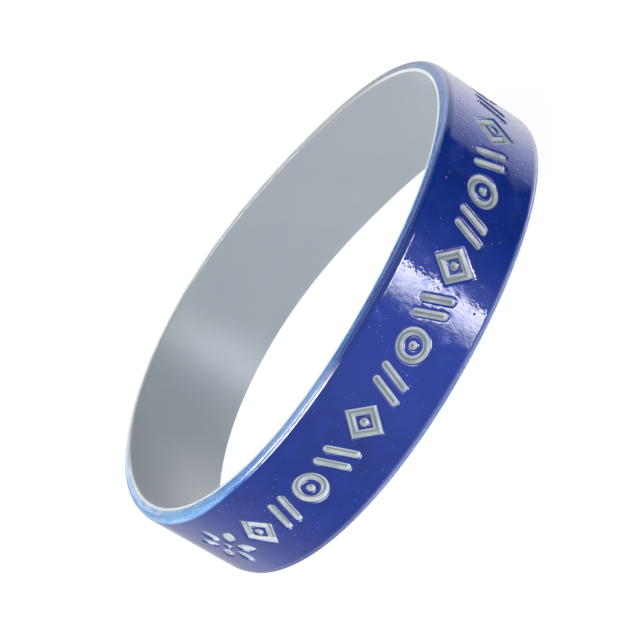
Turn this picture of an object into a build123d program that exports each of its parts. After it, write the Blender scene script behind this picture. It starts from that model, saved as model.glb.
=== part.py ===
from build123d import *
import os
from bisect import bisect_left
from math import atan2, cos, hypot, pi, radians, sin

# A moulded silicone wristband, lying on its side as it rests on a table.
# A grey core ring carries a thin blue colour coat on its outer face and over both rims.
# A row of ornament is sunk through the coat into the core along the front of the band.
# Millimetres. +Z runs through the wrist opening, the front of the ornament faces -Y,
# and the origin is on the table under the middle of the band.

# Band
mean_radius = 28.5
oval_rise = 1.41
oval_angle = radians(-32.2)
egg_rise = 1.07
egg_angle = radians(-11.2)
band_width = 12.7
wall = 1.6

# Colour coat, and the bare strip of core along each inner edge
coat = 0.15
rim_coat = 0.12
bare_edge = 0.35
bare_edge_rise = 0.03
bond_gap = 0.01
inner_edge_radius = 0.12

# Outer edges: the face falls in a little towards each rim, and the corner is rounded
edge_fall = 0.2
edge_fall_height = 0.8
corner_radius = 0.3

# Sunk ornament: sizes are measured along the outer face
mark_depth = 0.5
mark_stroke = 0.85
mark_gap = 0.75
lozenge_width = 4.3
lozenge_height = 4.9
ring_diameter = 3.8
bar_height = 3.8
bar_lean = 20
bars_in_a_set = 2
dot_diameter = 0.95
ornament_start = -26.9
repeats = 4

# Rosette that opens the row
rosette_diameter = 7.0
rosette_petals = 6
petal_length = 2.35
petal_width = 1.35

# How finely the outline is drawn, and how far the cutters reach past the rims
outline_points = 60
length_steps = 1440
corner_steps = 3
past_rim = 1.0


def outline_radius(angle):
    oval = oval_rise * cos(2 * (angle - oval_angle))
    egg = egg_rise * cos(3 * (angle - egg_angle))
    return mean_radius + oval + egg


def outline_slope(angle):
    oval = -2 * oval_rise * sin(2 * (angle - oval_angle))
    egg = -3 * egg_rise * sin(3 * (angle - egg_angle))
    return oval + egg


def outward(angle):
    """Direction straight out of the outer face, as the angle that it points at."""
    return angle - atan2(outline_slope(angle), outline_radius(angle))


def face_point(angle, inset=0.0):
    """Point of the outline, or of the line that lies inset inside it."""
    radius = outline_radius(angle)
    out = outward(angle)
    x = radius * cos(angle) - inset * cos(out)
    y = radius * sin(angle) - inset * sin(out)
    return x - middle[0], y - middle[1]


def find_middle():
    """Middle of the outline's own box, which the frame's origin lies under."""
    turns = [2 * pi * i / length_steps for i in range(length_steps)]
    xs = [outline_radius(a) * cos(a) for a in turns]
    ys = [outline_radius(a) * sin(a) for a in turns]
    return (min(xs) + max(xs)) / 2, (min(ys) + max(ys)) / 2


middle = find_middle()


def section(inset, height):
    """Face inside the outline at the given inset, at one height."""
    points = [face_point(2 * pi * i / outline_points, inset) for i in range(outline_points)]
    return Pos(0, 0, height) * make_face(Spline(points, periodic=True))


def slab(inset, low, high):
    """Solid inside the outline at the given inset, from one height to another."""
    return extrude(section(inset, low), amount=high - low, dir=(0, 0, 1))


def mirrored(upper_half):
    """Whole profile from its upper half: each row holds an inset and a height."""
    lower_half = [(inset, band_width - height) for inset, height in upper_half]
    return lower_half[::-1] + upper_half


def lofted(profile):
    """Solid whose wall passes through the rows of a profile, each an inset and a height."""
    return loft([section(inset, height) for inset, height in profile], ruled=True)


def corner_turns():
    return [radians(90) * i / corner_steps for i in range(corner_steps + 1)]


def shouldered_slab(inset, high, radius):
    """Solid whose face falls in towards both rims and turns a rounded corner there."""
    upper = [(inset, band_width - edge_fall_height)]
    for turn in corner_turns():
        away = radius * (1 - cos(turn))
        upper.append((inset + edge_fall + away, high - radius * (1 - sin(turn))))
    return lofted(mirrored(upper))


def wrist_hollow():
    """Cutter for the inside of the core, flared at both ends for the rounded inner edges."""
    upper = []
    for turn in corner_turns():
        away = inner_edge_radius * (1 - cos(turn))
        upper.append((wall - away, band_width - inner_edge_radius * (1 - sin(turn))))
    upper.append((wall - inner_edge_radius, band_width + past_rim))
    return lofted(mirrored(upper))


# Length along the outer face from the front point. The table starts in the bare back of the band.
front_angle = radians(-90)
table_start = front_angle - radians(140)
table_angles = [table_start + 2 * pi * i / length_steps for i in range(length_steps + 1)]


def measure_runs():
    runs = [0.0]
    for low, high in zip(table_angles, table_angles[1:]):
        x0, y0 = face_point(low)
        x1, y1 = face_point(high)
        runs.append(runs[-1] + hypot(x1 - x0, y1 - y0))
    ahead = (front_angle - table_start) / (2 * pi) * length_steps
    whole = int(ahead)
    front = runs[whole] + (runs[whole + 1] - runs[whole]) * (ahead - whole)
    return [run - front for run in runs]


table_runs = measure_runs()


def angle_at(run):
    above = bisect_left(table_runs, run)
    low, high = table_runs[above - 1], table_runs[above]
    share = (run - low) / (high - low)
    return table_angles[above - 1] + share * (table_angles[above] - table_angles[above - 1])


def on_face(run, rise=0.0):
    """Plane that touches the outer face there: its X runs along the face and its Y upwards."""
    angle = angle_at(run)
    out = outward(angle)
    x, y = face_point(angle)
    origin = (x, y, band_width / 2 + rise)
    return Plane(origin=origin, x_dir=(-sin(out), cos(out), 0), z_dir=(cos(out), sin(out), 0))


# Shapes of the marks, drawn flat
def lozenge():
    def rhombus(width, height):
        return Polygon((-width / 2, 0), (0, -height / 2), (width / 2, 0), (0, height / 2))
    side = hypot(lozenge_width, lozenge_height)
    shrink = 2 * mark_stroke * side
    inner = rhombus(lozenge_width - shrink / lozenge_height, lozenge_height - shrink / lozenge_width)
    return rhombus(lozenge_width, lozenge_height) - inner + Circle(dot_diameter / 2)


def ringlet():
    return Circle(ring_diameter / 2) - Circle(ring_diameter / 2 - mark_stroke) + Circle(dot_diameter / 2)


def bar(lean):
    length = (bar_height - mark_stroke) / cos(radians(lean)) + mark_stroke
    return SlotOverall(length, mark_stroke, rotation=90 - lean)


def petal():
    """Almond between two arcs, lying along X."""
    half = petal_length / 2
    bulge = petal_width / 2
    radius = (half * half + bulge * bulge) / (2 * bulge)
    upper = Pos(0, bulge - radius) * Circle(radius)
    lower = Pos(0, radius - bulge) * Circle(radius)
    return upper & lower


def sunk(shape, plane):
    """Cutter that stands out of the face and reaches past the floor of the mark."""
    return extrude(plane * shape, amount=wall, both=True)


def bar_run():
    """Width of a leaning bar along the face."""
    return (bar_height - mark_stroke) * sin(radians(bar_lean)) / cos(radians(bar_lean)) + mark_stroke


def bar_pitch():
    return (mark_stroke + mark_gap) / cos(radians(bar_lean))


def ornament():
    """Cutters of the whole row, from left to right."""
    cutters = []
    run = ornament_start

    def place(shape, width):
        nonlocal run
        cutters.append(sunk(shape, on_face(run + width / 2)))
        run += width + mark_gap

    def place_bars(lean):
        nonlocal run
        for i in range(bars_in_a_set):
            cutters.append(sunk(bar(lean), on_face(run + bar_run() / 2 + i * bar_pitch())))
        run += bar_run() + (bars_in_a_set - 1) * bar_pitch() + mark_gap

    for _ in range(repeats):
        place(lozenge(), lozenge_width)
        place_bars(bar_lean)
        place(ringlet(), ring_diameter)
        place_bars(-bar_lean)
    place(lozenge(), lozenge_width)
    return cutters


def rosette():
    """Cutters of the ring of petals and its centre dot, left of the row."""
    centre = ornament_start - mark_gap - rosette_diameter / 2
    reach = (rosette_diameter - petal_length) / 2
    cutters = [sunk(Circle(dot_diameter / 2), on_face(centre))]
    for i in range(rosette_petals):
        turn = 360 * (i + 0.5) / rosette_petals
        along = reach * cos(radians(turn))
        up = reach * sin(radians(turn))
        cutters.append(sunk(Rot(0, 0, turn) * petal(), on_face(centre + along, up)))
    return cutters


def build_cutter():
    """All marks as one tool, whose floor follows the curve of the band."""
    floor = slab(mark_depth, -past_rim, band_width + past_rim)
    return [cutter - floor for cutter in ornament() + rosette()]


def build_core(cutter):
    coat_back = coat + bond_gap
    rim_back = band_width - bare_edge_rise - rim_coat - bond_gap
    body = shouldered_slab(coat_back, rim_back, corner_radius - coat)
    lip = slab(wall - bare_edge, 0, band_width)
    return body + lip - wrist_hollow() - cutter


def build_coat(cutter):
    rim = band_width - bare_edge_rise
    skin = shouldered_slab(0, rim, corner_radius)
    core_space = shouldered_slab(coat, rim - rim_coat, corner_radius - coat)
    opening = slab(wall - bare_edge - bond_gap, -past_rim, band_width + past_rim)
    return skin - opening - core_space - cutter


def main():
    os.makedirs("parts", exist_ok=True)
    cutter = build_cutter()
    parts = {"core_band": build_core(cutter), "colour_coat": build_coat(cutter)}
    for name, shape in parts.items():
        shape.label = name
        export_step(shape, f"parts/{name}.step")
        print(name, len(shape.solids()), "solid", round(shape.volume, 2), "mm3", shape.bounding_box())
    print("outer girth", round(table_runs[-1] - table_runs[0], 1), "mm")


main()
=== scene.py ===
import math

import bmesh
import bpy
from mathutils import Matrix, Vector


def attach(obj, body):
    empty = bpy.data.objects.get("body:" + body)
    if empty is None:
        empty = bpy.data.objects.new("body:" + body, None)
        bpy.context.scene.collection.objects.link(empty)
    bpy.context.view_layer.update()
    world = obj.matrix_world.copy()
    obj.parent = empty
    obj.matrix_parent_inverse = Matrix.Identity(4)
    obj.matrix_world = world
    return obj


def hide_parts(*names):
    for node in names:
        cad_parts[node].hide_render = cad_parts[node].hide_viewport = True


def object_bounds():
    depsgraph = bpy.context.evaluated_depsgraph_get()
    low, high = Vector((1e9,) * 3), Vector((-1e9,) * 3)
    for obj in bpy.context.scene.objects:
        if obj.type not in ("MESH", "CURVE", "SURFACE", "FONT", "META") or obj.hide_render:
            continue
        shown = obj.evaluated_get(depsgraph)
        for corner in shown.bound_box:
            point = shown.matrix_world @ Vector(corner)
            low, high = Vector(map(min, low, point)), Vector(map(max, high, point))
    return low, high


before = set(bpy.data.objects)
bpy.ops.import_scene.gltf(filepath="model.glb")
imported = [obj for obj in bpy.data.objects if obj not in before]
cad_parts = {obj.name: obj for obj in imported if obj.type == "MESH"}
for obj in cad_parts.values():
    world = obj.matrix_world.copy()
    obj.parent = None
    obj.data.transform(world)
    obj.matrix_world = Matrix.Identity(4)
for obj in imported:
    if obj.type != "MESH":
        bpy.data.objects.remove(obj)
cad_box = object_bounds()


# Sunk marks. Raised shapes on the mould press them into the face, so each has a soft lip, leaning walls
# and a narrow floor. They go right through the blue coat and show the grey core.

# The strip that they are laid out on is flat, in millimetres: X along the band from the front, Y up from
# the lower edge, Z out of the face
band_width = (cad_box[1][2] - cad_box[0][2]) * 1000
mark_stroke = 0.85
mark_gap = 0.75
lozenge_width = 4.3
lozenge_height = 4.9
ring_diameter = 3.8
bar_height = 3.8
bar_lean = math.radians(20)
bars_in_a_set = 2
dot_diameter = 0.95
ornament_start = -26.9
repeats = 4
rosette_diameter = 7.0
rosette_petals = 6
petal_length = 2.35
petal_width = 1.35

# Section of a mark, from the face down to its floor, and how far its tool stands out of the face
lip_width = 0.18
lip_depth = 0.14
wall_lean = 0.26
petal_wall_lean = 0.16
wall_depth = 0.28
floor_round = 0.08
stand_out = 0.5

# How finely the marks are drawn
lip_steps = 4
dot_corners = 24
ring_corners = 56
bar_corners = 24
petal_circle_corners = 72

# A face looks along an axis where this much of its normal lies along it
square_on = 0.9


def open_mesh(piece):
    """Opens one piece alone in edit mode."""
    bpy.ops.object.select_all(action="DESELECT")
    piece.select_set(True)
    bpy.context.view_layer.objects.active = piece
    bpy.ops.object.mode_set(mode="EDIT")


def close_mesh():
    bpy.ops.object.mode_set(mode="OBJECT")


def pick(kind, test):
    """Selects the vertices, edges or faces of the open mesh that pass a test."""
    bpy.ops.mesh.select_mode(type=kind)
    bpy.ops.mesh.select_all(action="DESELECT")
    shape = bmesh.from_edit_mesh(bpy.context.edit_object.data)
    for item in {"VERT": shape.verts, "EDGE": shape.edges, "FACE": shape.faces}[kind]:
        if test(item):
            item.select_set(True)
    shape.select_flush_mode()
    bmesh.update_edit_mesh(bpy.context.edit_object.data)


def lip_rows():
    """Steps across and down of the rounded lip, as a quarter of an ellipse."""
    turns = [math.pi / 2 * i / lip_steps for i in range(lip_steps + 1)]
    rows = [(lip_width * math.sin(turn), lip_depth * (1 - math.cos(turn))) for turn in turns]
    return [(b[0] - a[0], b[1] - a[1]) for a, b in zip(rows, rows[1:])]


def sink_mark(lean=wall_lean):
    """Turns the open flat shape, all selected, into a tool with a rounded mouth and leaning walls."""
    bpy.ops.mesh.extrude_region_move(TRANSFORM_OT_translate={"value": (0, 0, -stand_out)})
    bpy.ops.mesh.select_all(action="SELECT")
    bpy.ops.mesh.normals_make_consistent(inside=False)
    pick("FACE", lambda f: f.normal.z < -square_on)
    for across, down in lip_rows() + [(lean, wall_depth), (floor_round, floor_round)]:
        bpy.ops.mesh.inset(thickness=across, depth=down, use_even_offset=True)
    close_mesh()


def add_disc(diameter, corners, turn=0.0):
    """Opens a flat disc above the face, wider than its mark by the lip."""
    bpy.ops.object.select_all(action="DESELECT")
    bpy.ops.mesh.primitive_circle_add(vertices=corners, radius=diameter / 2 + lip_width, fill_type="NGON",
                                      location=(0, 0, stand_out), rotation=(0, 0, turn))
    disc = bpy.context.object
    bpy.ops.object.transform_apply(location=True, rotation=True, scale=True)
    open_mesh(disc)
    bpy.ops.mesh.select_all(action="SELECT")
    return disc


def open_middle():
    """Leaves a closed stroke of the open flat shape by taking its middle out."""
    bpy.ops.mesh.inset(thickness=mark_stroke + 2 * lip_width, depth=0, use_even_offset=True)
    bpy.ops.mesh.delete(type="FACE")
    bpy.ops.mesh.select_all(action="SELECT")


def model_dot():
    dot = add_disc(dot_diameter, dot_corners)
    sink_mark()
    return dot


def model_ringlet():
    ringlet = add_disc(ring_diameter, ring_corners)
    open_middle()
    sink_mark()
    return ringlet


def model_lozenge():
    """A disc of four corners, stretched to the lozenge's height and width."""
    unit = 2
    lozenge = add_disc(unit, 4)
    side = math.hypot(lozenge_width, lozenge_height)
    grown_width = lozenge_width + 2 * lip_width * side / lozenge_height
    grown_height = lozenge_height + 2 * lip_width * side / lozenge_width
    grown_unit = unit + 2 * lip_width
    bpy.ops.transform.resize(value=(grown_width / grown_unit, grown_height / grown_unit, 1))
    open_middle()
    sink_mark()
    return lozenge


def model_bar(lean):
    """A disc pulled apart into a bar with round ends, then leant over."""
    length = (bar_height - mark_stroke) / math.cos(lean)
    bar = add_disc(mark_stroke, bar_corners, math.pi / bar_corners)
    pick("VERT", lambda v: v.co.y > 0)
    bpy.ops.transform.translate(value=(0, length, 0))
    bpy.ops.mesh.select_all(action="SELECT")
    bpy.ops.transform.translate(value=(0, -length / 2, 0))
    sink_mark()
    bar.rotation_euler.z = -lean
    bpy.ops.object.transform_apply(location=True, rotation=True, scale=True)
    return bar


def model_petal():
    """Almond between two arcs: half of a wide circle's cap, mirrored."""
    half = petal_length / 2
    bulge = petal_width / 2
    radius = (half * half + bulge * bulge) / (2 * bulge)
    bpy.ops.object.select_all(action="DESELECT")
    bpy.ops.mesh.primitive_circle_add(vertices=petal_circle_corners, radius=radius + lip_width,
                                      fill_type="NOTHING", location=(0, bulge - radius, stand_out))
    petal = bpy.context.object
    bpy.ops.object.transform_apply(location=True, rotation=True, scale=True)
    open_mesh(petal)
    bpy.ops.mesh.select_all(action="SELECT")
    bpy.ops.mesh.bisect(plane_co=(0, 0, 0), plane_no=(0, 1, 0), clear_inner=True)
    bpy.ops.mesh.select_all(action="SELECT")
    bpy.ops.mesh.symmetrize(direction="POSITIVE_Y")
    bpy.ops.mesh.select_all(action="SELECT")
    bpy.ops.mesh.edge_face_add()
    bpy.ops.mesh.select_all(action="SELECT")
    sink_mark(petal_wall_lean)
    return petal


def place_copy(mark, run, rise=0.0, turn=0.0):
    """Copies a mark to its place along the strip, at a rise from the middle and turned."""
    copy = mark.copy()
    copy.data = mark.data.copy()
    bpy.context.collection.objects.link(copy)
    copy.data.transform(Matrix.Translation((run, band_width / 2 + rise, 0)) @ Matrix.Rotation(turn, 4, "Z"))
    return copy


def lay_out_marks():
    """Copies of every mark in its place on the strip, joined into one tool."""
    lozenge = model_lozenge()
    ringlet = model_ringlet()
    dot = model_dot()
    bars = {lean: model_bar(lean) for lean in (bar_lean, -bar_lean)}
    petal = model_petal()
    bar_run = (bar_height - mark_stroke) * math.tan(bar_lean) + mark_stroke
    bar_pitch = (mark_stroke + mark_gap) / math.cos(bar_lean)
    bar_set_run = bar_run + (bars_in_a_set - 1) * bar_pitch
    copies = []
    run = ornament_start

    def place_dotted(mark, width):
        nonlocal run
        copies.extend(place_copy(piece, run + width / 2) for piece in (mark, dot))
        run += width + mark_gap

    def place_bars(lean):
        nonlocal run
        copies.extend(place_copy(bars[lean], run + bar_run / 2 + i * bar_pitch) for i in range(bars_in_a_set))
        run += bar_set_run + mark_gap

    for _ in range(repeats):
        place_dotted(lozenge, lozenge_width)
        place_bars(bar_lean)
        place_dotted(ringlet, ring_diameter)
        place_bars(-bar_lean)
    place_dotted(lozenge, lozenge_width)
    centre = ornament_start - mark_gap - rosette_diameter / 2
    reach = (rosette_diameter - petal_length) / 2
    copies.append(place_copy(dot, centre))
    for i in range(rosette_petals):
        turn = 2 * math.pi * (i + 0.5) / rosette_petals
        copies.append(place_copy(petal, centre + reach * math.cos(turn), reach * math.sin(turn), turn))
    for master in (lozenge, ringlet, dot, petal, *bars.values()):
        bpy.data.objects.remove(master)
    bpy.ops.object.select_all(action="DESELECT")
    for copy in copies:
        copy.select_set(True)
    bpy.context.view_layer.objects.active = copies[0]
    bpy.ops.object.join()
    return copies[0]


marks = lay_out_marks()


# Core ring. One loop of grey silicone, moulded in one piece; its inside and its thin inner edges stay bare.
# Off the mould it relaxes into a slightly egg-shaped loop. It is modelled as one narrow slice of a flat
# strip, repeated along the strip, cut by the marks and bent round the loop.
mean_radius = 28.5
oval_rise = 1.41
oval_angle = math.radians(-32.2)
egg_rise = 1.07
egg_angle = math.radians(-11.2)
front_angle = math.radians(-90)
wall = 1.6
coat_thickness = 0.15
bond_gap = 0.01

# The bare strip of core along each inner edge, and how far it stands out past the coated rim
bare_edge = 0.35
bare_edge_rise = 0.03
inner_edge_radius = 0.12

# The outer edges: past a soft crease the face falls in towards the rim, the corner is rounded, and the
# outer part of the rim slopes down to it
edge_fall = 0.2
edge_fall_height = 0.95
crease_width = 0.14
corner_radius = 0.3
crown_fall = 0.06
crown_width = 0.75

# How finely the ring is drawn, and the gaps and faces that are small enough to close
loop_points = 1800
slices = 520
face_rows = 27
corner_segments = 5
inner_edge_segments = 3
smooth_below = math.radians(38)
close_enough = 0.001
seam_gap = 0.005
sliver = 0.002
millimetre = 0.001


def outline_point(angle):
    oval = oval_rise * math.cos(2 * (angle - oval_angle))
    egg = egg_rise * math.cos(3 * (angle - egg_angle))
    radius = mean_radius + oval + egg
    return Vector((radius * math.cos(angle), radius * math.sin(angle), 0))


def draw_loop():
    """The line round the outer face, centred on its own box, from the front of the band."""
    turns = [front_angle + 2 * math.pi * i / loop_points for i in range(loop_points)]
    points = [outline_point(turn) for turn in turns]
    middle = Vector([(min(p[i] for p in points) + max(p[i] for p in points)) / 2 for i in range(3)])
    line = bpy.data.curves.new("outer_loop", "CURVE")
    line.dimensions = "3D"
    line.twist_mode = "Z_UP"
    line.use_path = True
    spline = line.splines.new("POLY")
    spline.points.add(loop_points - 1)
    for place, point in zip(spline.points, points):
        place.co = (*(point - middle), 1)
    spline.use_cyclic_u = True
    loop = bpy.data.objects.new("outer_loop", line)
    bpy.context.collection.objects.link(loop)
    return loop


outer_loop = draw_loop()
girth = outer_loop.data.splines[0].calc_length()
slice_width = girth / slices
strip_start = -girth / 2


def is_near(a, b):
    return abs(a - b) < close_enough


def near_either(value, pair):
    return any(is_near(value, other) for other in pair)


def middle_of(face):
    return face.calc_center_median()


def add_slice(name, low, high):
    """Opens a box between two corners, to be shaped into a slice of the strip."""
    size = [b - a for a, b in zip(low, high)]
    centre = [(a + b) / 2 for a, b in zip(low, high)]
    bpy.ops.object.select_all(action="DESELECT")
    bpy.ops.mesh.primitive_cube_add(size=1, location=centre, scale=size)
    piece = bpy.context.object
    piece.name = name
    bpy.ops.object.transform_apply(location=True, rotation=True, scale=True)
    open_mesh(piece)
    return piece


def cut_across(place, direction):
    bpy.ops.mesh.select_all(action="SELECT")
    bpy.ops.mesh.bisect(plane_co=place, plane_no=direction)


def cut_both_sides(from_rim):
    """Cuts the open slice at one distance from both rims."""
    for height in (from_rim, band_width - from_rim):
        cut_across((0, height, 0), (0, 1, 0))


def round_edges(is_on_edge, radius, segments):
    """Rounds the edges of the open slice whose two ends pass a test of their place."""
    pick("EDGE", lambda e: all(is_on_edge(v.co) for v in e.verts))
    bpy.ops.mesh.bevel(offset=radius, offset_type="OFFSET", segments=segments, profile=0.5)


def shape_corners(face, rim, radius):
    """Lets the face and the rim fall towards the outer corners of the open slice, and rounds the corners."""
    rims = (rim, band_width - rim)
    cut_both_sides(edge_fall_height + crease_width / 2)
    cut_both_sides(edge_fall_height - crease_width / 2)
    cut_across((0, 0, face - crown_width), (0, 0, 1))
    pick("VERT", lambda v: is_near(v.co.z, face) and near_either(v.co.y, rims))
    bpy.ops.transform.translate(value=(0, 0, -edge_fall))
    cut_both_sides(edge_fall_height - crease_width)
    corner_level = face - edge_fall
    for height, inward in zip(rims, (1, -1)):
        pick("VERT", lambda v: is_near(v.co.z, corner_level) and is_near(v.co.y, height))
        bpy.ops.transform.translate(value=(0, inward * crown_fall, 0))
    corners = (rim + crown_fall, band_width - rim - crown_fall)
    round_edges(lambda p: is_near(p.z, corner_level) and near_either(p.y, corners), radius, corner_segments)


def divide_face(face):
    """Divides the tall middle of the slice's face into rows, for an even mesh."""
    def is_upright(edge):
        a, b = (v.co for v in edge.verts)
        return is_near(a.z, face) and is_near(b.z, face) and abs(a.y - b.y) > band_width / 2

    pick("EDGE", is_upright)
    bpy.ops.mesh.subdivide(number_cuts=face_rows)


def finish_with(piece, kind, **settings):
    """Adds a modifier, sets it and applies it."""
    bpy.ops.object.select_all(action="DESELECT")
    piece.select_set(True)
    bpy.context.view_layer.objects.active = piece
    bpy.ops.object.modifier_add(type=kind)
    modifier = piece.modifiers[-1]
    for key, value in settings.items():
        setattr(modifier, key, value)
    bpy.ops.object.modifier_apply(modifier=modifier.name)


def repeat_slice(piece):
    """Sets copies of the slice in a row, as long as the loop, and joins them."""
    finish_with(piece, "ARRAY", count=slices, use_relative_offset=False, use_constant_offset=True,
                constant_offset_displace=(slice_width, 0, 0), use_merge_vertices=True,
                merge_threshold=close_enough)


def cut_marks(strip):
    finish_with(strip, "BOOLEAN", operation="DIFFERENCE", solver="MANIFOLD", object=marks)


def note_flat_place(strip):
    """Keeps each corner's place on the flat strip, for patterns that follow the surface."""
    mesh = strip.data
    half = band_width / 2
    radius = girth / (2 * math.pi)
    corners = [mesh.vertices[loop.vertex_index].co.copy() for loop in mesh.loops]
    # The way round the section, from the lower rim over the face to the upper rim
    around = [c.y + math.copysign(c.z, c.y - half) for c in corners]
    # The strip rolled into an even ring, which closes the patterns over the seam
    ringed = [(radius * math.cos(c.x / radius), radius * math.sin(c.x / radius), a)
              for c, a in zip(corners, around)]
    for name, places in (("flat", corners), ("ringed", ringed)):
        note = mesh.attributes.new(name, "FLOAT_VECTOR", "CORNER")
        note.data.foreach_set("vector", [axis for place in places for axis in place])
    # The way round the section from the nearer outer corner: above 0 on the face and below 0 on the rims
    from_corner = [half - abs(a - half) for a in around]
    mesh.attributes.new("from_corner", "FLOAT", "CORNER").data.foreach_set("value", from_corner)


def bend_round(strip):
    """Opens the strip's ends, bends it round the loop, joins the ends and brings it to metres."""
    ends = (strip_start, strip_start + girth)
    open_mesh(strip)
    pick("FACE", lambda f: any(all(is_near(v.co.x, end) for v in f.verts) for end in ends))
    bpy.ops.mesh.delete(type="FACE")
    close_mesh()
    note_flat_place(strip)
    strip.rotation_euler.x = math.pi / 2
    bpy.ops.object.transform_apply(location=True, rotation=True, scale=True)
    finish_with(strip, "CURVE", object=outer_loop, deform_axis="POS_X")
    open_mesh(strip)
    bpy.ops.mesh.select_mode(type="VERT")
    bpy.ops.mesh.select_all(action="DESELECT")
    bpy.ops.mesh.select_non_manifold()
    bpy.ops.mesh.remove_doubles(threshold=seam_gap)
    bpy.ops.mesh.select_all(action="SELECT")
    bpy.ops.mesh.dissolve_degenerate(threshold=sliver)
    bpy.ops.mesh.select_all(action="SELECT")
    bpy.ops.mesh.delete_loose()
    bpy.ops.mesh.select_all(action="SELECT")
    bpy.ops.mesh.normals_make_consistent(inside=False)
    close_mesh()
    strip.scale = (millimetre, millimetre, millimetre)
    bpy.ops.object.transform_apply(location=True, rotation=True, scale=True)
    bpy.ops.object.shade_smooth_by_angle(angle=smooth_below)


def model_core():
    """A slice under the coat with its two bare edges, repeated into a strip with closed ends."""
    rim = bare_edge_rise + coat_thickness + bond_gap
    face = -(coat_thickness + bond_gap)
    slice_end = strip_start + slice_width
    core = add_slice("core_ring", (strip_start, rim, -wall), (slice_end, band_width - rim, face))
    shape_corners(face, rim, corner_radius - coat_thickness)
    lip_level = bare_edge - wall
    cut_across((0, 0, lip_level), (0, 0, 1))
    for out, side in ((-1, rim), (1, band_width - rim)):
        pick("FACE", lambda f: is_near(middle_of(f).y, side) and middle_of(f).z < lip_level)
        bpy.ops.mesh.extrude_region_move(TRANSFORM_OT_translate={"value": (0, out * rim, 0)})
    round_edges(lambda p: is_near(p.z, -wall) and near_either(p.y, (0, band_width)), inner_edge_radius,
                inner_edge_segments)
    divide_face(face)
    pick("FACE", lambda f: abs(f.normal.x) > square_on)
    bpy.ops.mesh.delete(type="FACE")
    close_mesh()
    repeat_slice(core)
    open_mesh(core)
    for end in (strip_start, strip_start + girth):
        pick("EDGE", lambda e: all(is_near(v.co.x, end) for v in e.verts))
        bpy.ops.mesh.edge_face_add()
    close_mesh()
    return core


core_ring = model_core()
cut_marks(core_ring)
bend_round(core_ring)


def linear(hex_colour):
    channels = [int(hex_colour[i:i + 2], 16) / 255 for i in (1, 3, 5)]
    return tuple(c / 12.92 if c <= 0.04045 else ((c + 0.055) / 1.055) ** 2.4 for c in channels) + (1.0,)


def add_node(tree, kind, inputs, **settings):
    """Adds a node, sets it, and gives each input a value, a socket's link or a node's first output."""
    node = tree.nodes.new("ShaderNode" + kind)
    for key, value in settings.items():
        setattr(node, key, value)
    for key, value in inputs.items():
        if isinstance(value, bpy.types.Node):
            value = value.outputs[0]
        if isinstance(value, bpy.types.NodeSocket):
            tree.links.new(value, node.inputs[key])
        else:
            node.inputs[key].default_value = value
    return node


def share_along(tree, run, place, none_at, full_at, most=1.0, **settings):
    """Share that goes from none to its most between two distances from one place along the band."""
    away = add_node(tree, "Math", {0: run, 1: place}, operation="SUBTRACT")
    away = add_node(tree, "Math", {0: away}, operation="ABSOLUTE")
    return add_node(tree, "MapRange", {0: away, 1: none_at, 2: full_at, 4: most}, **settings)


# Filled silicone straight from a satin steel mould: an even matte grey with faint clouds. A pale, almost
# white line is painted along the upper bare inner edge as a painted highlight, greying round the back, and a
# pale blue-grey one along the lower edge. Its marks have blotchy walls, painted paler than the core as
# painted light, and are painted darkest along their floor as painted shade.
soft_step = {"interpolation_type": "SMOOTHSTEP"}
blend = {"data_type": "RGBA"}
core_cloud = 9.0
wall_blotch = 1.6
core_grain = 0.25
core_grain_rise = 0.006
bare_roughness = 0.4
mark_roughness = 0.62

# A fade holds where it starts and where it is full: in from an edge, or down from the face. A tint along
# the band holds its middle, how far from there it starts and is full, and its strongest share where that
# is less than 1.
# The lip fades and the lip tint place the painted highlight along the bare inner edges.
upper_lip_fade = (0.16, 0.06)
lower_lip_fade = (0.25, 0.05)
mark_fade = (0.6, 0.55)
# The floor fade places the painted shade along the marks' floors.
floor_shade_fade = (0.42, 0.49)
lip_highlight_fade = (0.0, 48.0, 62.0)

# Noise lies mostly between 0.3 and 0.7, so it is stretched from there where it should show clearly
core_silicone = bpy.data.materials.new("matte_grey_silicone")
core_silicone.use_nodes = True
tree = core_silicone.node_tree
tree.nodes.clear()
flat = add_node(tree, "Attribute", {}, attribute_name="flat").outputs["Vector"]
ringed = add_node(tree, "Attribute", {}, attribute_name="ringed").outputs["Vector"]
place = add_node(tree, "SeparateXYZ", {0: flat}).outputs
clouds = add_node(tree, "TexNoise", {"Vector": ringed, "Scale": 1 / core_cloud, "Detail": 2.0})
colour = add_node(tree, "Mix", {0: clouds, 6: linear("#99a2ab"), 7: linear("#a7adb3")}, **blend).outputs[2]
# Painted highlight: the upper bare edge is painted near white, greying round the back.
upper_lip = add_node(tree, "MapRange", {0: place[1], 1: band_width - upper_lip_fade[0],
                                        2: band_width - upper_lip_fade[1]}, **soft_step)
grey_share = share_along(tree, place[0], *lip_highlight_fade, **soft_step)
painted_lip_highlight = add_node(tree, "Mix", {0: grey_share, 6: linear("#f2f6f6"), 7: linear("#adb4b6")},
                     **blend).outputs[2]
colour = add_node(tree, "Mix", {0: upper_lip, 6: colour, 7: painted_lip_highlight}, **blend).outputs[2]
# Painted highlight: the lower bare edge is painted pale blue-grey.
lower_lip = add_node(tree, "MapRange", {0: place[1], 1: lower_lip_fade[0], 2: lower_lip_fade[1]}, **soft_step)
colour = add_node(tree, "Mix", {0: lower_lip, 6: colour, 7: linear("#adc3d2")}, **blend).outputs[2]
in_mark = add_node(tree, "MapRange", {0: place[2], 1: -mark_fade[0], 2: -mark_fade[1]})
blotches = add_node(tree, "TexNoise", {"Vector": flat, "Scale": 1 / wall_blotch, "Detail": 2.0})
blotches = add_node(tree, "MapRange", {0: blotches, 1: 0.38, 2: 0.62})
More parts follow.
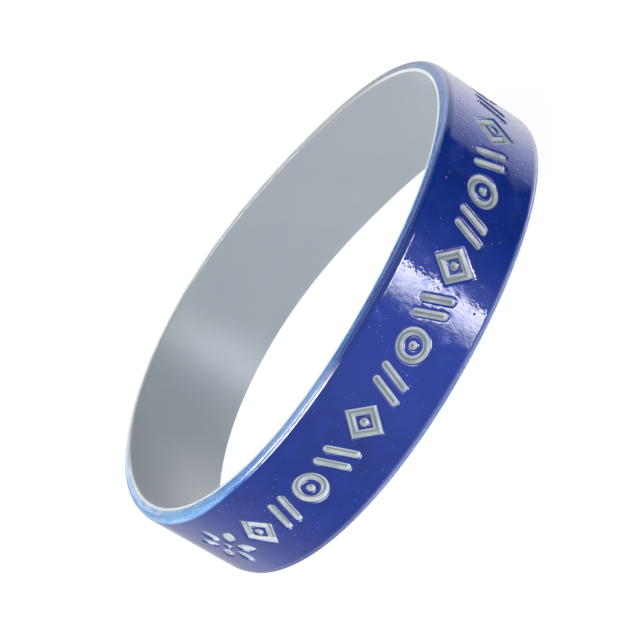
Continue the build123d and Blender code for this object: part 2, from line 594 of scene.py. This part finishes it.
# Painted light and shade: the mark walls are painted paler than the core and their floors darker; the
# blotches are random tone.
lit_wall_grey = add_node(tree, "Mix", {0: blotches, 6: linear("#a9b4ba"), 7: linear("#c6cdcf")},
                     **blend).outputs[2]
floor_shade_share = add_node(tree, "MapRange", {0: place[2], 1: -floor_shade_fade[0], 2: -floor_shade_fade[1]},
                       **soft_step)
lit_and_shaded_mark_grey = add_node(tree, "Mix", {0: floor_shade_share, 6: lit_wall_grey, 7: linear("#7d888e")}, **blend).outputs[2]
colour = add_node(tree, "Mix", {0: in_mark, 6: colour, 7: lit_and_shaded_mark_grey}, **blend).outputs[2]
grain = add_node(tree, "TexNoise", {"Vector": ringed, "Scale": 1 / core_grain, "Detail": 2.0})
height = add_node(tree, "Math", {0: grain, 1: core_grain_rise}, operation="MULTIPLY")
bump = add_node(tree, "Bump", {"Height": height, "Distance": millimetre})
roughness = add_node(tree, "MapRange", {0: in_mark, 3: bare_roughness, 4: mark_roughness})
shader = add_node(tree, "BsdfPrincipled", {"Base Color": colour, "Roughness": roughness, "IOR": 1.41,
                                           "Normal": bump})
add_node(tree, "OutputMaterial", {0: shader})

core_ring.data.materials.clear()
core_ring.data.materials.append(core_silicone)
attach(core_ring, "root")
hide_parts("core_band")


# Colour coat. A thin skin of blue silicone, sprayed over the outer face and both rims and cured onto the
# core, with a fine step along both shoulders where the spray mask ended. It stops short of the inner
# edges and is cut through at every mark.
step_place = 0.5
step_width = 0.1
step_drop = 0.045
# Cuts along the step, in widths of it from its middle: the inner two bound it, the outer two keep it crisp
step_cuts = (1.5, 0.5, -0.5, -1.5)


def sink_step():
    """Drops the outer part of both shoulders of the open slice by a fine step."""
    for cut in step_cuts:
        cut_both_sides(step_place + cut * step_width)

    def is_past_step(point):
        from_rim = min(point.y, band_width - point.y)
        return corner_radius < from_rim < step_place and point.z > -edge_fall

    pick("VERT", lambda v: is_past_step(v.co))
    bpy.ops.transform.translate(value=(0, 0, -step_drop))


def model_coat():
    """A slice of the outside of the coat, repeated into a strip that is then given its thickness."""
    rim = bare_edge_rise
    inner_end = bare_edge + bond_gap - wall
    slice_end = strip_start + slice_width
    coat = add_slice("coat_skin", (strip_start, rim, inner_end), (slice_end, band_width - rim, 0))
    pick("FACE", lambda f: abs(f.normal.x) > square_on or f.normal.z < -square_on)
    bpy.ops.mesh.delete(type="FACE")
    shape_corners(0, rim, corner_radius)
    divide_face(0)
    sink_step()
    close_mesh()
    repeat_slice(coat)
    finish_with(coat, "SOLIDIFY", thickness=coat_thickness, offset=-1, use_even_offset=True)
    return coat


coat_skin = model_coat()
cut_marks(coat_skin)
bend_round(coat_skin)
bpy.data.objects.remove(marks)
bpy.data.objects.remove(outer_loop)

# Pigmented silicone paint, sprayed thin and cured wet: a deep glossy navy that turns light blue where
# it thins over the rims, and grey on the rims round the back. Under the gloss lie dust specks, each
# painted pale as a painted glint, and the film is slightly uneven and pitted.

# Tints of the navy: brighter at the front, as painted light; brighter past the marks on the right, as a
# painted reflection, and pitted there, with a little of both left elsewhere; and deeper towards the shoulders
front_light_tint = (5.0, 14.0, 3.0, 0.42)
right_glare_and_pits_fade = (24.5, 28.0)
right_elsewhere = 0.04
shoulder_fade = (1.2, 0.5)

# Tints of the upper rim, and the part of the face in which the lower rim's colour gives way to the upper's
# The lilac tint is a painted reflection of bright glare on the upper rim round the right end.
painted_glare_lilac_tint = (50.0, 30.0, 12.0, 0.85)
sky_tint = (-44.0, 31.0, 13.0, 0.9)
# The pale tint is a painted highlight: a bright streak on the upper rim just left of the front.
painted_rim_streak_tint = (-10.0, 9.5, 3.0, 0.55)
grey_tint = (-6.0, 44.0, 62.0)
middle_blend = 0.15

# The light blue of a rim ends in a fade up the face from the corner. Over the upper corner it reaches
# further at the left, where the film is thin, and less at the front, where it is thick. Over the lower
# one its reach changes along the band, from one value to another.
film_end_fade = (0.36, -0.16)
thin_film = (-44.0, 30.0, 14.0, 0.6)
thick_film = (11.0, 18.0, 9.0, 0.5)
low_film_fade = (-20.0, -8.0)
low_film_reach = (-0.1, 0.35)

# Sizes of the clouds, streaks, frost, specks and pits, and how far they rise or sink. The odds are the
# least and the greatest share of the places for a speck or a pit that hold one.
navy_cloud = 3.0
haze_cloud = 2.2
streak_length = 4.0
streak_width = 0.3
streak_rise = 0.006
frost_grain = 0.28
frost_strength = 0.25
speck_spacing = 0.9
speck_fade = (0.06, 0.03)
speck_cluster = 4.6
speck_odds_range = (0.05, 0.6)
speck_rise = 0.002
pit_spacing = 0.8
pit_radii = (0.08, 0.2)
pit_cluster = 4.0
pit_odds_range = (0.2, 0.9)
pit_depth = 0.036
pitted_fade = (0.9, 1.2)
film_wave = 3.2
film_wave_rise = 0.045
film_ripple = 0.45
film_ripple_rise = 0.006

# Roughness of the wet gloss and of its haze, and how much the rims add
gloss_roughness = 0.05
haze_roughness = 0.28
rim_roughness = 0.03

coat_silicone = bpy.data.materials.new("glossy_blue_silicone")
coat_silicone.use_nodes = True
tree = coat_silicone.node_tree
tree.nodes.clear()
flat = add_node(tree, "Attribute", {}, attribute_name="flat").outputs["Vector"]
ringed = add_node(tree, "Attribute", {}, attribute_name="ringed").outputs["Vector"]
from_corner = add_node(tree, "Attribute", {}, attribute_name="from_corner").outputs["Fac"]
run = add_node(tree, "SeparateXYZ", {0: flat}).outputs[0]
around = add_node(tree, "SeparateXYZ", {0: ringed}).outputs[2]
unrolled = add_node(tree, "CombineXYZ", {0: run, 1: around})

clouds = add_node(tree, "TexNoise", {"Vector": ringed, "Scale": 1 / navy_cloud, "Detail": 5.0,
                                     "Roughness": 0.68})
clouds = add_node(tree, "MapRange", {0: clouds, 1: 0.3, 2: 0.7})
colour = add_node(tree, "Mix", {0: clouds, 6: linear("#0e2a7a"), 7: linear("#17338f")}, **blend).outputs[2]
# Painted light: the navy is painted brighter round the front of the band.
painted_front_light = share_along(tree, run, *front_light_tint, **soft_step)
colour = add_node(tree, "Mix", {0: painted_front_light, 6: colour, 7: linear("#2042b2")}, **blend).outputs[2]
# Painted reflection: the navy is painted brighter past the marks on the right, for the glare of the bright
# walls; the same share also makes the pits there more common.
right_glare_and_pits = add_node(tree, "MapRange", {0: run, 1: right_glare_and_pits_fade[0], 2: right_glare_and_pits_fade[1], 3: right_elsewhere})
colour = add_node(tree, "Mix", {0: right_glare_and_pits, 6: colour, 7: linear("#18359a")}, **blend).outputs[2]
shoulder_share = add_node(tree, "MapRange", {0: from_corner, 1: shoulder_fade[0], 2: shoulder_fade[1]},
                          **soft_step)
colour = add_node(tree, "Mix", {0: shoulder_share, 6: colour, 7: linear("#0a3288")}, **blend).outputs[2]

streak_place = add_node(tree, "Mapping", {"Vector": ringed,
                                          "Scale": (1 / streak_length, 1 / streak_length, 1 / streak_width)})
streaks = add_node(tree, "TexNoise", {"Vector": streak_place, "Scale": 1.0, "Detail": 3.0})
streaks = add_node(tree, "MapRange", {0: streaks, 1: 0.38, 2: 0.62})
rim_blue = add_node(tree, "Mix", {0: streaks, 6: linear("#2560bc"), 7: linear("#5c98e0")}, **blend).outputs[2]
# Painted reflection: the upper rim is painted pale lilac round the right end.
painted_glare_lilac = share_along(tree, run, *painted_glare_lilac_tint)
rim_blue = add_node(tree, "Mix", {0: painted_glare_lilac, 6: rim_blue, 7: linear("#9db1e2")}, **blend).outputs[2]
sky_share = share_along(tree, run, *sky_tint, **soft_step)
sky_blue = add_node(tree, "Mix", {0: streaks, 6: linear("#5fa4e4"), 7: linear("#8cc0ee")}, **blend).outputs[2]
rim_blue = add_node(tree, "Mix", {0: sky_share, 6: rim_blue, 7: sky_blue}, **blend).outputs[2]
# Painted highlight: a pale streak painted on the upper rim just left of the front.
painted_rim_streak = share_along(tree, run, *painted_rim_streak_tint, **soft_step)
rim_blue = add_node(tree, "Mix", {0: painted_rim_streak, 6: rim_blue, 7: linear("#a9c8f0")}, **blend).outputs[2]
grey_share = share_along(tree, run, *grey_tint, **soft_step)
rim_blue = add_node(tree, "Mix", {0: grey_share, 6: rim_blue, 7: linear("#949ea6")}, **blend).outputs[2]
is_above = add_node(tree, "MapRange", {0: around, 1: band_width / 2 - middle_blend,
                                       2: band_width / 2 + middle_blend})
rim_blue = add_node(tree, "Mix", {0: is_above, 6: linear("#5f7abc"), 7: rim_blue}, **blend).outputs[2]

thin_end = share_along(tree, run, *thin_film, **soft_step)
thick_part = share_along(tree, run, *thick_film, **soft_step)
above_reach = add_node(tree, "Math", {0: thin_end, 1: thick_part}, operation="SUBTRACT")
below_reach = add_node(tree, "MapRange", {0: run, 1: low_film_fade[0], 2: low_film_fade[1],
                                          3: low_film_reach[0], 4: low_film_reach[1]}, **soft_step)
thin_reach = add_node(tree, "Mix", {0: is_above, 2: below_reach, 3: above_reach})
from_film_end = add_node(tree, "Math", {0: from_corner, 1: thin_reach}, operation="SUBTRACT")
rim_share = add_node(tree, "MapRange", {0: from_film_end, 1: film_end_fade[0], 2: film_end_fade[1]},
                     **soft_step)
frost = add_node(tree, "TexNoise", {"Vector": ringed, "Scale": 1 / frost_grain, "Detail": 2.0})
frost = add_node(tree, "MapRange", {0: frost, 1: 0.5, 2: 0.66, 4: frost_strength})
rim_blue = add_node(tree, "Mix", {0: frost, 6: rim_blue, 7: linear("#c3dcf3")}, **blend).outputs[2]
colour = add_node(tree, "Mix", {0: rim_share, 6: colour, 7: rim_blue}, **blend).outputs[2]

speck_grid = add_node(tree, "TexVoronoi", {"Vector": unrolled, "Scale": 1 / speck_spacing},
                      voronoi_dimensions="2D").outputs
speck_spot = add_node(tree, "MapRange", {0: speck_grid["Distance"], 1: speck_fade[0] / speck_spacing,
                                         2: speck_fade[1] / speck_spacing}, **soft_step)
speck_lot = add_node(tree, "SeparateColor", {0: speck_grid["Color"]}).outputs
speck_cloud = add_node(tree, "TexNoise", {"Vector": ringed, "Scale": 1 / speck_cluster, "Detail": 1.0})
speck_odds = add_node(tree, "MapRange", {0: speck_cloud, 1: 0.45, 2: 0.62, 3: speck_odds_range[0],
                                         4: speck_odds_range[1]})
is_speck = add_node(tree, "Math", {0: speck_lot[0], 1: speck_odds}, operation="LESS_THAN")
specks = add_node(tree, "Math", {0: speck_spot, 1: is_speck}, operation="MULTIPLY")
# Painted highlight: each dust speck is painted pale blue as a painted glint.
speck_glint_tone = add_node(tree, "Math", {0: specks, 1: speck_lot[1]}, operation="MULTIPLY")
colour = add_node(tree, "Mix", {0: speck_glint_tone, 6: colour, 7: linear("#86a4fa")}, **blend).outputs[2]

pit_grid = add_node(tree, "TexVoronoi", {"Vector": unrolled, "Scale": 1 / pit_spacing},
                    voronoi_dimensions="2D").outputs
pit_lot = add_node(tree, "SeparateColor", {0: pit_grid["Color"]}).outputs
pit_size = add_node(tree, "MapRange", {0: pit_lot[1], 3: pit_radii[0] / pit_spacing,
                                       4: pit_radii[1] / pit_spacing})
pit_spot = add_node(tree, "MapRange", {0: pit_grid["Distance"], 1: pit_size, 2: 0.0}, **soft_step)
pit_cloud = add_node(tree, "TexNoise", {"Vector": ringed, "Scale": 1 / pit_cluster, "Detail": 1.0})
pit_cloud = add_node(tree, "MapRange", {0: pit_cloud, 1: 0.38, 2: 0.58, 3: pit_odds_range[0],
                                        4: pit_odds_range[1]})
pit_odds = add_node(tree, "Math", {0: pit_cloud, 1: right_glare_and_pits}, operation="MULTIPLY")
is_pit = add_node(tree, "Math", {0: pit_lot[0], 1: pit_odds}, operation="LESS_THAN")
pits = add_node(tree, "Math", {0: pit_spot, 1: is_pit}, operation="MULTIPLY")
on_face = add_node(tree, "MapRange", {0: from_corner, 1: pitted_fade[0], 2: pitted_fade[1]})
pits = add_node(tree, "Math", {0: pits, 1: on_face}, operation="MULTIPLY")

waves = add_node(tree, "TexNoise", {"Vector": ringed, "Scale": 1 / film_wave, "Detail": 4.0,
                                    "Roughness": 0.62})
ripples = add_node(tree, "TexNoise", {"Vector": ringed, "Scale": 1 / film_ripple, "Detail": 2.0})
rim_streaks = add_node(tree, "Math", {0: streaks, 1: rim_share}, operation="MULTIPLY")
height = add_node(tree, "Math", {0: waves, 1: film_wave_rise}, operation="MULTIPLY")
for pattern, rise in ((ripples, film_ripple_rise), (specks, speck_rise), (pits, -pit_depth),
                      (rim_streaks, streak_rise)):
    height = add_node(tree, "Math", {0: pattern, 1: rise, 2: height}, operation="MULTIPLY_ADD")
bump = add_node(tree, "Bump", {"Height": height, "Distance": millimetre})

haze = add_node(tree, "TexNoise", {"Vector": ringed, "Scale": 1 / haze_cloud, "Detail": 3.0})
haze = add_node(tree, "MapRange", {0: haze, 1: 0.5, 2: 0.72, 3: gloss_roughness, 4: haze_roughness})
roughness = add_node(tree, "Math", {0: rim_share, 1: rim_roughness, 2: haze}, operation="MULTIPLY_ADD")
shader = add_node(tree, "BsdfPrincipled", {"Base Color": colour, "Roughness": roughness, "IOR": 1.43,
                                           "Normal": bump})
add_node(tree, "OutputMaterial", {0: shader})

coat_skin.data.materials.clear()
coat_skin.data.materials.append(coat_silicone)
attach(coat_skin, "root")
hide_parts("colour_coat")


# Floor. A large sheet of matte white acrylic over a light table, lit from below so that it stays pale and
# shows almost no shadow. The gloss sees past it to the studio.
floor_size = 8
floor_grey = 0.12
floor_glow = 0.94
white = linear("#ffffff")
bpy.ops.object.select_all(action="DESELECT")
bpy.ops.mesh.primitive_plane_add(size=floor_size, location=(0, 0, 0))
floor = bpy.context.object
floor.name = "floor"
lit_acrylic = bpy.data.materials.new("lit_white_acrylic")
lit_acrylic.use_nodes = True
tree = lit_acrylic.node_tree
tree.nodes.clear()
shader = add_node(tree, "BsdfPrincipled", {"Base Color": (floor_grey,) * 3 + (1,), "Roughness": 1.0,
                                           "Specular IOR Level": 0.0, "Emission Color": white,
                                           "Emission Strength": floor_glow})
add_node(tree, "OutputMaterial", {0: shader})
floor.data.materials.append(lit_acrylic)
floor.visible_glossy = False


# Studio. White walls all round, brighter on some sides than on others, and a few soft lamps.
# Each wall row holds an azimuth in degrees and a brightness. The gloss mirrors the first row of walls,
# and matte surfaces are lit by the second, which is the same room seen softly.
mirrored_walls = ((-180, 0.8), (-154, 0.6), (-127, 0.75), (-103, 0.95), (-80, 0.75), (-56, 1.2),
                  (-50, 0.45), (-38, 0.1), (1, 0.03), (3, 1.3), (14, 2.1), (24, 2.6), (36, 2.8), (60, 1.6),
                  (76, 0.9), (84, 0.25), (92, 0.12), (97, 0.65), (118, 0.68), (136, 1.0), (165, 0.95),
                  (180, 0.8))
soft_walls = ((-180, 1.25), (-130, 1.4), (-85, 1.25), (-57, 0.5), (-30, 0.1), (20, 0.05), (60, 0.3),
              (100, 0.8), (140, 1.1), (180, 1.25))
# Each lamp row holds the azimuths and the elevations between which it fades in and out, and its brightness.
# Azimuths from -182 to 182 go all the way round. The lamps are seen in the gloss alone.
lamps = {
    "window": ((-74, -61, -60.5, -59.5), (-40, -34, -8, -2), 24.0),
    "window_top": ((-76, -66, -53, -50), (-15, -12, -6, -3), 24.0),
    "upper_left": ((-182, -170, -108, -97), (18, 24, 50, 60), 34.0),
    "ceiling": ((-182, -181, 181, 182), (30, 60, 91, 92), 0.8),
    "back_wall": ((80, 87, 98, 102), (-10, -4, 17.5, 20.5), 1.9),
    "low_fill": ((-182, -181, 181, 182), (-68, -60, -50, -38), 1.7),
    "low_front": ((-182, -181, -20, 0), (-72, -66, -60, -50), 2.2),
}
studio = bpy.data.worlds.new("studio")
studio.use_nodes = True
tree = studio.node_tree
tree.nodes.clear()
direction = add_node(tree, "TexCoord", {}).outputs["Generated"]
axes = add_node(tree, "SeparateXYZ", {0: direction}).outputs
azimuth = add_node(tree, "Math", {0: axes[1], 1: axes[0]}, operation="ARCTAN2")
azimuth = add_node(tree, "Math", {0: azimuth}, operation="DEGREES")
elevation = add_node(tree, "Math", {0: axes[2]}, operation="ARCSINE")
elevation = add_node(tree, "Math", {0: elevation}, operation="DEGREES")
turn = add_node(tree, "MapRange", {0: azimuth, 1: -180.0, 2: 180.0})
# The ramps are kept to colours below 1: brightness is divided before them and multiplied back after them
brightest = 4.0
lights = []
for walls in (mirrored_walls, soft_walls):
    ramp = add_node(tree, "ValToRGB", {0: turn})
    elements = ramp.color_ramp.elements
    for _ in walls[2:]:
        elements.new(0.5)
    for element, (at, brightness) in zip(elements, walls):
        element.position = (at + 180) / 360
        element.color = (brightness / brightest,) * 3 + (1,)
    lights.append(add_node(tree, "Math", {0: ramp, 1: brightest}, operation="MULTIPLY"))
mirrored_light, soft_light = lights
for azimuths, elevations, brightness in lamps.values():
    lamp = None
    for angle, (start, full, fading, end) in ((azimuth, azimuths), (elevation, elevations)):
        for outer, inner in ((start, full), (end, fading)):
            edge = add_node(tree, "MapRange", {0: angle, 1: float(outer), 2: float(inner)}, **soft_step)
            lamp = edge if lamp is None else add_node(tree, "Math", {0: lamp, 1: edge}, operation="MULTIPLY")
    mirrored_light = add_node(tree, "Math", {0: lamp, 1: brightness, 2: mirrored_light},
                              operation="MULTIPLY_ADD")
for_gloss = add_node(tree, "Background", {"Color": white, "Strength": mirrored_light})
for_matte = add_node(tree, "Background", {"Color": white, "Strength": soft_light})
rays = add_node(tree, "LightPath", {}).outputs
seen = add_node(tree, "MixShader", {0: rays["Is Glossy Ray"], 1: for_matte, 2: for_gloss})
add_node(tree, "OutputWorld", {0: seen})
studio.cycles.sampling_method = "NONE"
bpy.context.scene.world = studio
bpy.context.scene.view_settings.view_transform = "Standard"


# Camera, on the photographer's side: low over the front, and rolled so that the band stands on its left end.
# Its place in millimetres, its angles and its lens were fitted to the outlines in the photograph. It looks
# at a point a hair to the side of its aim.
camera_distance = 271.94
camera_lift = math.radians(20.168)
camera_roll = math.radians(-58.476)
camera_lens = 138.57
sensor_width = 36
near_limit = 0.01
aim_shift = (0.077, -0.034)
aim = Vector((-0.9967, -0.7937, band_width / 2))


def camera_axes(forward):
    """Directions to the right and up of a level camera that looks forward."""
    right = forward.cross(Vector((0, 0, 1))).normalized()
    return right, right.cross(forward)


to_camera = Vector((0, -math.cos(camera_lift), math.sin(camera_lift))) * camera_distance
right, up = camera_axes(-to_camera.normalized())
forward = (aim_shift[0] * right + aim_shift[1] * up - to_camera).normalized()
right, up = camera_axes(forward)
side = math.cos(camera_roll) * right + math.sin(camera_roll) * up
top = -math.sin(camera_roll) * right + math.cos(camera_roll) * up
lens = bpy.data.cameras.new("camera")
lens.lens = camera_lens
lens.sensor_width = sensor_width
lens.clip_start = near_limit
camera = bpy.data.objects.new("camera", lens)
bpy.context.collection.objects.link(camera)
turned = Matrix((side, top, -forward)).transposed().to_4x4()
camera.matrix_world = Matrix.Translation((aim + to_camera) / 1000) @ turned
bpy.context.scene.camera = camera
